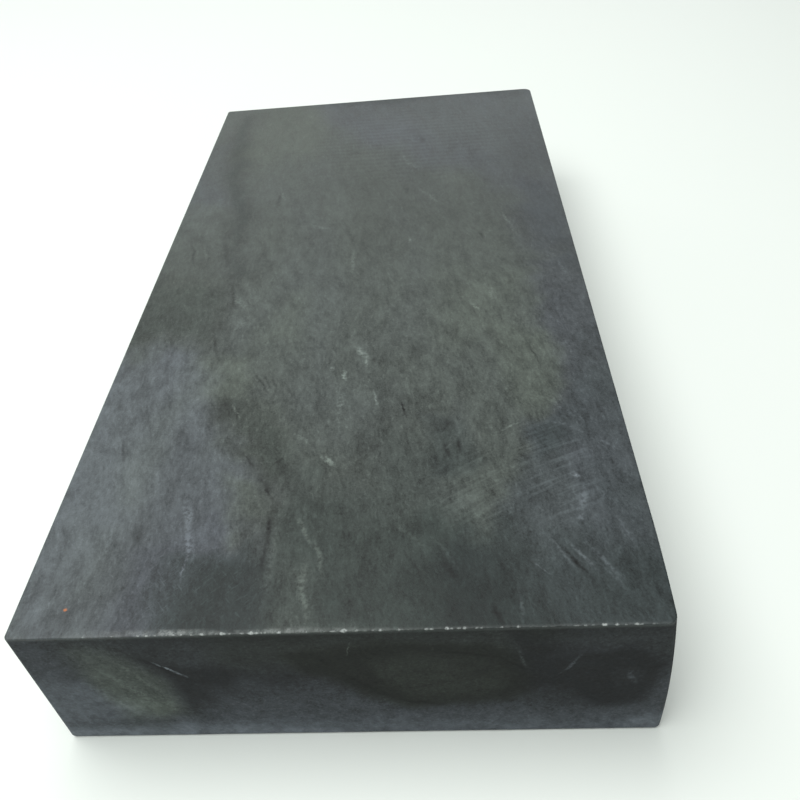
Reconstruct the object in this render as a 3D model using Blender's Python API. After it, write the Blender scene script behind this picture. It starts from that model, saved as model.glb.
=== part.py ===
"""Honed stone slab: one block of natural stone, sawn to size and left free-standing.

Metres, +Z up, origin at the centre of the footprint.
X runs across the slab, Y along its length; -Y is the end with the worn arris.
"""
import math

import bmesh
import bpy
from mathutils import Matrix, Vector

# Driving dimensions
LENGTH = 0.300             # along Y, on the longer (right-hand) side
FOOT_WIDTH = 0.152         # across X at the resting face
TOP_WIDTH = 0.150          # across X at the working face
THICKNESS = 0.047
BACK_OUT_OF_SQUARE = 0.003  # how much shorter the left-hand side is

# Upright arrises: (side in X, end in Y, radius)
UPRIGHT_ARRISES = (
    (-1.0, -1.0, 0.0010),
    (1.0, -1.0, 0.0024),
    (1.0, 1.0, 0.0034),
    (-1.0, 1.0, 0.0012),
)
UPRIGHT_ARRIS_SEGMENTS = 5
TOP_ARRIS_RADIUS = 0.0006
FOOT_ARRIS_RADIUS = 0.0009
LONG_ARRIS_SEGMENTS = 2

# Derived positions
LEFT_X = -FOOT_WIDTH / 2.0
RIGHT_FOOT_X = FOOT_WIDTH / 2.0
RIGHT_TOP_X = LEFT_X + TOP_WIDTH
FRONT_Y = -LENGTH / 2.0
BACK_RIGHT_Y = LENGTH / 2.0
BACK_LEFT_Y = BACK_RIGHT_Y - BACK_OUT_OF_SQUARE

# Worn strip along the front top arris: (x, depth of wear) at each station
ARRIS_WEAR = (
    (-0.0580, 0.0004),
    (-0.0500, 0.0007),
    (-0.0410, 0.0006),
    (-0.0320, 0.0009),
    (-0.0255, 0.0007),
    (-0.0180, 0.0009),
    (-0.0110, 0.0007),
    (-0.0060, 0.0004),
)
WEAR_OVERSHOOT = 0.0020    # how far the wear cutter stands clear of the stone

# Chips in the front top arris: (name, x, bite radius, how far outside its centre lies)
CHIPS = (
    ("front_chip_a", -0.0300, 0.0020, 0.0012),
    ("front_chip_b", 0.0240, 0.0014, 0.0010),
    ("front_chip_c", 0.0400, 0.0013, 0.0009),
    ("front_chip_d", 0.0600, 0.0014, 0.0010),
)
CHIP_STRETCH = 1.7         # chips run longer along the arris than across it

# Corner knocks: (name, corner, how far the flat stands in from the sharp corner)
CORNER_KNOCKS = (
    ("front_left_knock", (LEFT_X, FRONT_Y, THICKNESS), 0.0011),
    ("front_right_knock", (RIGHT_TOP_X, FRONT_Y, THICKNESS), 0.0020),
)
KNOCK_BLOCK = 0.010        # edge length of the cube that makes each flat

STONE_COLOUR = (0.085, 0.095, 0.090, 1.0)
STONE_ROUGHNESS = 0.55

OBJECT_NAME = "granite_slab"
CUTTER_COLLECTION_NAME = "granite_slab_cutters"


def clear_scene():
    """Start from an empty scene."""
    for obj in list(bpy.data.objects):
        bpy.data.objects.remove(obj, do_unlink=True)
    for collection in list(bpy.data.collections):
        bpy.data.collections.remove(collection)


def new_collection(name):
    """Make a collection under the scene's own collection."""
    collection = bpy.data.collections.new(name)
    bpy.context.scene.collection.children.link(collection)
    return collection


def stone_material():
    """Plain dark grey honed stone."""
    material = bpy.data.materials.new("stone")
    material.use_nodes = True
    shader = material.node_tree.nodes["Principled BSDF"]
    shader.inputs["Base Color"].default_value = STONE_COLOUR
    shader.inputs["Roughness"].default_value = STONE_ROUGHNESS
    return material


def object_from_bmesh(name, shape, collection):
    """Turn a bmesh into a named object in the given collection."""
    mesh = bpy.data.meshes.new(name)
    shape.to_mesh(mesh)
    shape.free()
    obj = bpy.data.objects.new(name, mesh)
    collection.objects.link(obj)
    return obj


def add_sawn_block(shape):
    """A cube drawn out to size, with its right side battered and its back end out of square."""
    bmesh.ops.create_cube(shape, size=1.0)
    for vert in shape.verts:
        is_right = vert.co.x > 0.0
        is_back = vert.co.y > 0.0
        is_top = vert.co.z > 0.0
        right_x = RIGHT_TOP_X if is_top else RIGHT_FOOT_X
        back_y = BACK_RIGHT_Y if is_right else BACK_LEFT_Y
        vert.co.x = right_x if is_right else LEFT_X
        vert.co.y = back_y if is_back else FRONT_Y
        vert.co.z = THICKNESS if is_top else 0.0


def edges_at_height(shape, height):
    """Edges whose two ends both lie at the given height."""
    tolerance = 1.0e-6
    return [
        edge for edge in shape.edges
        if all(abs(vert.co.z - height) < tolerance for vert in edge.verts)
    ]


def upright_edges(shape, side, end):
    """Edges that run from the foot to the working face at one corner of the plan."""
    return [
        edge for edge in shape.edges
        if abs(edge.verts[0].co.z - edge.verts[1].co.z) > THICKNESS / 2.0
        and all(vert.co.x * side > 0.0 and vert.co.y * end > 0.0 for vert in edge.verts)
    ]


def round_edges(shape, edges, radius, segments):
    """Round a set of edges to a radius."""
    bmesh.ops.bevel(
        shape,
        geom=edges,
        offset=radius,
        offset_type="OFFSET",
        segments=segments,
        profile=0.5,
        affect="EDGES",
        clamp_overlap=True,
    )


def make_stone_block(collection):
    """The sawn block with its arrises eased."""
    shape = bmesh.new()
    add_sawn_block(shape)
    for side, end, radius in UPRIGHT_ARRISES:
        round_edges(shape, upright_edges(shape, side, end), radius, UPRIGHT_ARRIS_SEGMENTS)
    round_edges(shape, edges_at_height(shape, THICKNESS), TOP_ARRIS_RADIUS, LONG_ARRIS_SEGMENTS)
    round_edges(shape, edges_at_height(shape, 0.0), FOOT_ARRIS_RADIUS, LONG_ARRIS_SEGMENTS)
    bmesh.ops.recalc_face_normals(shape, faces=shape.faces)
    shade_rounded_corners(shape)
    block = object_from_bmesh("stone_slab", shape, collection)
    block.data.materials.append(stone_material())
    return block


def shade_rounded_corners(shape):
    """Smooth the upright roundings; the sawn faces stay flat."""
    narrow_face = 0.0015
    for face in shape.faces:
        shortest = min(edge.calc_length() for edge in face.edges)
        is_upright = abs(face.normal.z) < 0.2
        face.smooth = is_upright and shortest < narrow_face


def show_as_cutter(obj):
    """Cutters are drawn as wire and stay out of renders."""
    obj.hide_render = True
    obj.display_type = "WIRE"


def make_wear_cutter(collection):
    """A long sliver whose sloping face wears away the front top arris."""
    shape = bmesh.new()
    sections = []
    for x, depth in ARRIS_WEAR:
        inner = (x, FRONT_Y + depth + WEAR_OVERSHOOT, THICKNESS + WEAR_OVERSHOOT)
        lower = (x, FRONT_Y - WEAR_OVERSHOOT, THICKNESS - depth - WEAR_OVERSHOOT)
        outer = (x, FRONT_Y - WEAR_OVERSHOOT, THICKNESS + WEAR_OVERSHOOT)
        sections.append([shape.verts.new(point) for point in (inner, lower, outer)])
    for near, far in zip(sections, sections[1:]):
        for index in range(3):
            following = (index + 1) % 3
            shape.faces.new((near[index], near[following], far[following], far[index]))
    shape.faces.new(sections[0])
    shape.faces.new(list(reversed(sections[-1])))
    bmesh.ops.recalc_face_normals(shape, faces=shape.faces)
    cutter = object_from_bmesh("arris_wear_cutter", shape, collection)
    show_as_cutter(cutter)
    return cutter


def make_chip_cutter(name, x, radius, stand_off, collection):
    """A faceted pebble that bites a shallow chip out of the front top arris."""
    outward = Vector((0.0, -1.0, 1.0)).normalized()
    centre = Vector((x, FRONT_Y, THICKNESS)) + outward * stand_off
    shape = bmesh.new()
    bmesh.ops.create_icosphere(shape, subdivisions=2, radius=radius)
    bmesh.ops.scale(shape, vec=(CHIP_STRETCH, 1.0, 1.0), verts=shape.verts)
    bmesh.ops.translate(shape, vec=centre, verts=shape.verts)
    cutter = object_from_bmesh(name, shape, collection)
    show_as_cutter(cutter)
    return cutter


def make_knock_cutter(name, corner, inset, collection):
    """A cube turned corner-on, leaving a small flat across a corner of the stone."""
    corner = Vector(corner)
    middle = Vector((0.0, 0.0, THICKNESS / 2.0))
    outward = Vector([math.copysign(1.0, value) for value in (corner - middle)]).normalized()
    centre = corner + outward * (KNOCK_BLOCK / 2.0 - inset)
    turn = outward.to_track_quat("Z", "Y").to_matrix().to_4x4()
    shape = bmesh.new()
    bmesh.ops.create_cube(shape, size=KNOCK_BLOCK, matrix=Matrix.Translation(centre) @ turn)
    cutter = object_from_bmesh(name, shape, collection)
    show_as_cutter(cutter)
    return cutter


def cut_away(target, cutter):
    """Subtract one cutter from the stone."""
    modifier = target.modifiers.new(cutter.name, "BOOLEAN")
    modifier.operation = "DIFFERENCE"
    modifier.solver = "EXACT"
    modifier.object = cutter


def build():
    """Build the whole slab."""
    clear_scene()
    parts = new_collection(OBJECT_NAME)
    cutters = new_collection(CUTTER_COLLECTION_NAME)
    slab = make_stone_block(parts)
    cut_away(slab, make_wear_cutter(cutters))
    for name, corner, inset in CORNER_KNOCKS:
        cut_away(slab, make_knock_cutter(name, corner, inset, cutters))
    for name, x, radius, stand_off in CHIPS:
        cut_away(slab, make_chip_cutter(name, x, radius, stand_off, cutters))


build()
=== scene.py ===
"""Looks for the honed stone slab: one worn, veined block of dark grey stone on a pale floor.

Metres, +Z up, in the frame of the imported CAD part. Patterns are laid out in millimetres.
"""

import math

import bmesh
import bpy
from mathutils import Matrix, Vector, noise


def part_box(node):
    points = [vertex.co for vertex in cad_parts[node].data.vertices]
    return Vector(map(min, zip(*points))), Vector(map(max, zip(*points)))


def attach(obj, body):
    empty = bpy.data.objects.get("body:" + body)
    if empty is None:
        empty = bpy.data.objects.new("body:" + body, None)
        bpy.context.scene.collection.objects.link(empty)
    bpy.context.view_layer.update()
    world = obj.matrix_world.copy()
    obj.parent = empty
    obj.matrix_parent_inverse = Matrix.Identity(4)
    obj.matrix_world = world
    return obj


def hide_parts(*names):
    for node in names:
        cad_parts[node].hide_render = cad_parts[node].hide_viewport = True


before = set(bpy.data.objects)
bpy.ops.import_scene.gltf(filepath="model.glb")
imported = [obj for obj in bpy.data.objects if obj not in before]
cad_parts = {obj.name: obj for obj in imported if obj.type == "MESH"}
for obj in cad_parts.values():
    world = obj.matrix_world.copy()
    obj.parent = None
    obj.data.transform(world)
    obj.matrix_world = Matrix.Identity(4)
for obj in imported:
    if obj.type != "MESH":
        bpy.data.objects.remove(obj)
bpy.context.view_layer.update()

# ---- Sizes, in metres, that repeat the CAD model's own ----
MM = 0.001
NODE_LOW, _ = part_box("stone_slab")
LEFT_X = -0.076
FOOT_WIDTH = 0.152
TOP_WIDTH = 0.150
FRONT_Y = -0.150
LENGTH = 0.300
BACK_OUT_OF_SQUARE = 0.003
THICKNESS = 0.047
RIGHT_X = LEFT_X + TOP_WIDTH
BACK_Y = FRONT_Y + LENGTH
FOOT_RADIUS = 0.0009

# Finer roundings than the CAD model's. Upright arrises, by side in x and end in y: radius at
# the foot, half way up and at the working face
TOP_RADIUS = 0.0004
UPRIGHT_RADII = {
    (-1, -1): (0.0010, 0.0010, 0.0010),
    (1, -1): (0.0020, 0.0014, 0.0024),
    (1, 1): (0.0030, 0.0030, 0.0036),
    (-1, 1): (0.0012, 0.0012, 0.0012),
}

# Mesh spacing: distances of the mesh's lines from each edge, then the step between
EDGE_OFFSETS = (0.0, 0.00012, 0.00024, 0.0004, 0.0006, 0.0009, 0.0013, 0.0018)
EDGE_MARGIN = 0.0024
FACE_STEP = 0.0014
# Further cuts across the mesh within reach of the front top arris
FRONT_ARRIS_REACH = 0.0014
FRONT_ARRIS_CUTS = 4
# Edges that turn by more than this are shaded sharp
SHARP_ANGLE = math.radians(38.0)

# ---- Camera ----
CAMERA_POSITION = (0.025819, -0.247963, 0.201982)
CAMERA_TILT = math.radians(48.7554)
CAMERA_PAN = math.radians(-3.9014)
CAMERA_ROLL = math.radians(6.943)
CAMERA_LENS = 36.428
CAMERA_SENSOR = 36.0
CAMERA_SHIFT_X = 0.015
CAMERA_SHIFT_Y = -0.015
CAMERA_CLIP_START = 0.01


# ---- The slab's mesh ----
def graded_positions(low, high):
    """Positions from low to high, close together near both ends and wider between."""
    inner_low, inner_high = low + EDGE_MARGIN, high - EDGE_MARGIN
    count = max(1, round((inner_high - inner_low) / FACE_STEP))
    middle = [inner_low + (inner_high - inner_low) * i / count for i in range(count + 1)]
    near_low = [low + offset for offset in EDGE_OFFSETS]
    near_high = [high - offset for offset in reversed(EDGE_OFFSETS)]
    return near_low + middle + near_high


def box_lattice(shape):
    """Cover a sharp-edged box with a graded grid of quads."""
    axes = (
        graded_positions(LEFT_X, RIGHT_X),
        graded_positions(FRONT_Y, BACK_Y),
        graded_positions(0.0, THICKNESS),
    )
    last = [len(axis) - 1 for axis in axes]
    verts = {}

    def vert(index):
        if index not in verts:
            verts[index] = shape.verts.new([axes[n][index[n]] for n in range(3)])
        return verts[index]

    for fixed in range(3):
        across, along = (fixed + 1) % 3, (fixed + 2) % 3
        for end in (0, last[fixed]):
            for i in range(last[across]):
                for j in range(last[along]):
                    corners = []
                    for di, dj in ((0, 0), (1, 0), (1, 1), (0, 1)):
                        index = [0, 0, 0]
                        index[fixed] = end
                        index[across] = i + di
                        index[along] = j + dj
                        corners.append(vert(tuple(index)))
                    if end == 0:
                        corners.reverse()
                    shape.faces.new(corners)


def refine_front_arris(shape):
    """Split the mesh more finely where the front top arris is chipped."""
    edges = [
        edge for edge in shape.edges
        if all(
            v.co.y - FRONT_Y < FRONT_ARRIS_REACH and THICKNESS - v.co.z < FRONT_ARRIS_REACH
            for v in edge.verts
        )
        and abs(edge.verts[0].co.x - edge.verts[1].co.x) > FACE_STEP / 2.0
    ]
    bmesh.ops.subdivide_edges(shape, edges=edges, cuts=FRONT_ARRIS_CUTS, use_grid_fill=True)


def square_to_round(a, b):
    """Move a point of a square corner onto the rounding of that corner."""
    if a <= 0.0 or b <= 0.0:
        return a, b
    scale = max(a, b) / math.hypot(a, b)
    return a * scale, b * scale


def from_corner_centre(point):
    """The nearest upright arris: its radius, the way out to it, and the place past its centre."""
    dx = point.x - (LEFT_X + RIGHT_X) / 2.0
    dy = point.y - (FRONT_Y + BACK_Y) / 2.0
    side, end = (1 if dx > 0.0 else -1), (1 if dy > 0.0 else -1)
    foot, middle, top = UPRIGHT_RADII[side, end]
    rise = point.z / THICKNESS
    radius = (
        foot * (1.0 - rise) * (1.0 - 2.0 * rise)
        + middle * 4.0 * rise * (1.0 - rise)
        + top * rise * (2.0 * rise - 1.0)
    )
    a = abs(dx) - TOP_WIDTH / 2.0 + radius
    b = abs(dy) - LENGTH / 2.0 + radius
    return radius, side, end, a, b


def round_upright(point):
    """Round the four upright arrises."""
    _, side, end, a, b = from_corner_centre(point)
    new_a, new_b = square_to_round(a, b)
    point.x += side * (new_a - a)
    point.y += end * (new_b - b)


def outline_depth(point):
    """Distance in from the rounded outline, and the outward direction there."""
    radius, side, end, a, b = from_corner_centre(point)
    if a > 0.0 and b > 0.0:
        reach = math.hypot(a, b)
        return radius - reach, Vector((side * a, end * b, 0.0)) / reach
    if a > b:
        return radius - a, Vector((side, 0.0, 0.0))
    return radius - b, Vector((0.0, end, 0.0))


def round_level_arris(point):
    """Round the arrises round the working face and round the foot."""
    depth, outward = outline_depth(point)
    is_top = point.z > THICKNESS / 2.0
    radius = TOP_RADIUS if is_top else FOOT_RADIUS
    below = THICKNESS - point.z if is_top else point.z
    a, b = radius - depth, radius - below
    if a <= 0.0 or b <= 0.0:
        return
    new_a, new_b = square_to_round(a, b)
    point += outward * (new_a - a)
    point.z += (new_b - b) * (1.0 if is_top else -1.0)


def lean_and_skew(point):
    """Give the block its spreading right side and its back end out of square."""
    across = (point.x - LEFT_X) / TOP_WIDTH
    spread = (FOOT_WIDTH - TOP_WIDTH) * (1.0 - point.z / THICKNESS)
    along = (point.y - FRONT_Y) / LENGTH
    point.x += spread * across
    point.y -= BACK_OUT_OF_SQUARE * (1.0 - across) * along


def ripple(point, size, seed):
    """Smooth noise from -1 to 1 with features about as large as size."""
    return noise.noise(point / size + Vector((seed, seed * 0.37, seed * 0.11)))


# Waviness of the honed and sawn faces: (feature size, depth, seed)
RELIEF_LAYERS = (
    (0.018, 0.00010, 3.1),
    (0.005, 0.00005, 8.6),
)
RELIEF_RATE_ALONG = 0.4    # how fast it changes along the slab, next to across it


def honed_relief(point):
    """Inward waviness of the honed and sawn faces."""
    stretched = Vector((point.x, point.y * RELIEF_RATE_ALONG, point.z))
    depth = 0.0
    for size, layer_depth, seed in RELIEF_LAYERS:
        depth += (0.5 + 0.5 * ripple(stretched, size, seed)) * layer_depth
    return depth


ON_FACE = 1.0e-5           # a point no further than this from a face lies on it


def press_in(point, amount):
    """Move a point inwards, square to the face it lies on."""
    if THICKNESS - point.z < ON_FACE:
        point.z -= amount
    elif point.y - FRONT_Y < ON_FACE:
        point.y += amount
    elif BACK_Y - point.y < ON_FACE:
        point.y -= amount
    elif point.x - LEFT_X < ON_FACE:
        point.x += amount
    elif RIGHT_X - point.x < ON_FACE:
        point.x -= amount


# Worn strip along the front top arris: (x, depth)
ARRIS_WEAR = (
    (-0.0760, 0.00010),
    (-0.0600, 0.00012),
    (-0.0540, 0.00030),
    (-0.0410, 0.00042),
    (-0.0360, 0.00048),
    (-0.0180, 0.00056),
    (-0.0110, 0.00052),
    (-0.0060, 0.00044),
    (0.0080, 0.00042),
    (0.0160, 0.00038),
    (0.0640, 0.00044),
    (0.0760, 0.00030),
)
WEAR_REACH = 0.006         # no wear further than this from the arris
WEAR_PALENESS = 0.85
PALE_DEPTH = 0.00016       # depth of wear at which the stone is fully pale

# Unevenness of that wear: a mean share with fine chatter about it, deeper nicks here and
# there, and a ragged surface
WEAR_MEAN = 0.66
CHATTER_SIZE = 0.0008
NICK_SIZE = 0.0019
NICK_THRESHOLD = 0.10
NICK_DEPTH = 0.0004
RAGGED_SIZE = 0.0007
RAGGED_DEPTH = 0.00006

# Bruised strip of the working face, just behind that arris: (x, paleness) and (x, reach)
BRUISE = (
    (-0.0640, 0.0),
    (-0.0560, 0.08),
    (-0.0460, 0.16),
    (-0.0400, 0.32),
    (-0.0330, 0.36),
    (-0.0270, 0.14),
    (-0.0190, 0.14),
    (-0.0120, 0.26),
    (-0.0040, 0.16),
    (0.0060, 0.12),
    (0.0140, 0.04),
    (0.0760, 0.04),
)
BRUISE_REACH = (
    (-0.0640, 0.0020),
    (-0.0320, 0.0018),
    (-0.0270, 0.0013),
    (-0.0080, 0.0015),
    (0.0080, 0.0010),
    (0.0760, 0.0008),
)
BRUISE_DROP = 0.0006       # how far below the working face it still shows
BRUISE_GRAIN = 0.0013
BRUISE_MEAN = 0.75
BRUISE_SWING = 0.9

# Straight out from the front top arris
ARRIS_OUTWARD = Vector((0.0, -1.0, 1.0)).normalized()


def between(stations, x):
    """Read a value off a list of stations, straight between neighbours."""
    for (x0, v0), (x1, v1) in zip(stations, stations[1:]):
        if x <= x1:
            t = (x - x0) / (x1 - x0)
            return v0 + (v1 - v0) * max(0.0, min(1.0, t))
    return stations[-1][1]


def near_front_arris(point, reach):
    """Whether a point is within reach of the front top arris."""
    return point.y - FRONT_Y <= reach and THICKNESS - point.z <= reach


def arris_wear_depth(x):
    """How far the front top arris is worn back at x."""
    base = between(ARRIS_WEAR, x)
    chatter = ripple(Vector((x, 0.0, 0.0)), CHATTER_SIZE, 5.3)
    nicks = max(0.0, ripple(Vector((x, 0.01, 0.0)), NICK_SIZE, 9.7) - NICK_THRESHOLD)
    return base * (WEAR_MEAN + chatter) + nicks * NICK_DEPTH


def bruise(point):
    """Paleness of the bruised strip behind the front top arris."""
    reach = between(BRUISE_REACH, point.x)
    share = 1.0 - (point.y - FRONT_Y) / reach
    if share <= 0.0 or THICKNESS - point.z > BRUISE_DROP:
        return 0.0
    ragged = BRUISE_MEAN + BRUISE_SWING * ripple(point, BRUISE_GRAIN, 4.4)
    return between(BRUISE, point.x) * max(0.0, ragged) * min(1.0, 2.0 * share)


def trim(point, normal, limit):
    """Cut a point back to a plane and say how far it moved."""
    excess = point.dot(normal) - limit
    if excess <= 0.0:
        return 0.0
    point -= normal * excess
    return excess


def wear_front_arris(point):
    """Wear the front top arris to a ragged narrow flat, and say how far the point moved."""
    if not near_front_arris(point, WEAR_REACH):
        return 0.0
    corner = Vector((point.x, FRONT_Y, THICKNESS))
    ragged = ripple(point, RAGGED_SIZE, 2.2) * RAGGED_DEPTH
    limit = corner.dot(ARRIS_OUTWARD) - arris_wear_depth(point.x) / math.sqrt(2.0) + ragged
    return trim(point, ARRIS_OUTWARD, limit)


# Chips in the front top arris: (x, bite radius, how far outside its centre lies)
CHIPS = (
    (-0.0300, 0.0013, 0.00095),
    (0.0240, 0.0010, 0.00080),
    (0.0400, 0.0009, 0.00072),
    (0.0600, 0.0010, 0.00078),
    (0.0672, 0.0009, 0.00072),
)
CHIP_REACH = 0.003         # no chip reaches further than this from the arris
CHIP_STRETCH = 1.7         # chips run longer along the arris than across it
CHIP_PALENESS = 0.6


def bite_chips(point):
    """Push a point out of any chip that it lies in, and say how far it moved."""
    if not near_front_arris(point, CHIP_REACH):
        return 0.0
    moved = 0.0
    for x, radius, stand_off in CHIPS:
        away = point - Vector((x, FRONT_Y, THICKNESS)) - ARRIS_OUTWARD * stand_off
        away.x /= CHIP_STRETCH
        reach = away.length
        if 0.0 < reach < radius:
            step = away * (radius / reach - 1.0)
            step.x *= CHIP_STRETCH
            point += step
            moved = max(moved, step.length)
    return moved


# The front right corner: how far along the side it is eased, how far in at the working
# face, and how far out half way up
EASE_REACH = 0.030
EASE_AT_TOP = 0.00070
SWELL_HALF_WAY = 0.00045


def ease_front_right(point):
    """Draw the front right corner in at the top and let it swell a little below."""
    nearness = max(0.0, 1.0 - (point.y - FRONT_Y) / EASE_REACH) ** 2
    across = (point.x - LEFT_X) / TOP_WIDTH
    rise = point.z / THICKNESS
    swell = SWELL_HALF_WAY * 4.0 * rise * (1.0 - rise)
    point.x += across * nearness * (swell - EASE_AT_TOP * rise * rise)


def build_slab():
    """Make the slab's visual mesh with its wear, tone and blueness attributes."""
    shape = bmesh.new()
    box_lattice(shape)
    refine_front_arris(shape)
    wear_layer = shape.verts.layers.float.new("wear")
    tone_layer = shape.verts.layers.float.new("tone")
    blue_layer = shape.verts.layers.float.new("blue")
    for vert in shape.verts:
        point = vert.co.copy()
        press_in(point, honed_relief(point))
        round_upright(point)
        round_level_arris(point)
        moved = wear_front_arris(point)
        moved = max(moved, bite_chips(point) * CHIP_PALENESS)
        paleness = min(1.0, moved / PALE_DEPTH) * WEAR_PALENESS
        vert[wear_layer] = min(1.0, paleness + bruise(point))
        ease_front_right(point)
        lean_and_skew(point)
        vert.co = point
        vert[tone_layer], vert[blue_layer] = broad_tones(point)
    for face in shape.faces:
        face.smooth = True
    mesh = bpy.data.meshes.new("slab_stone")
    shape.to_mesh(mesh)
    shape.free()
    mesh.set_sharp_from_angle(angle=SHARP_ANGLE)
    slab = bpy.data.objects.new("slab_stone", mesh)
    bpy.context.scene.collection.objects.link(slab)
    return slab


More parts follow.
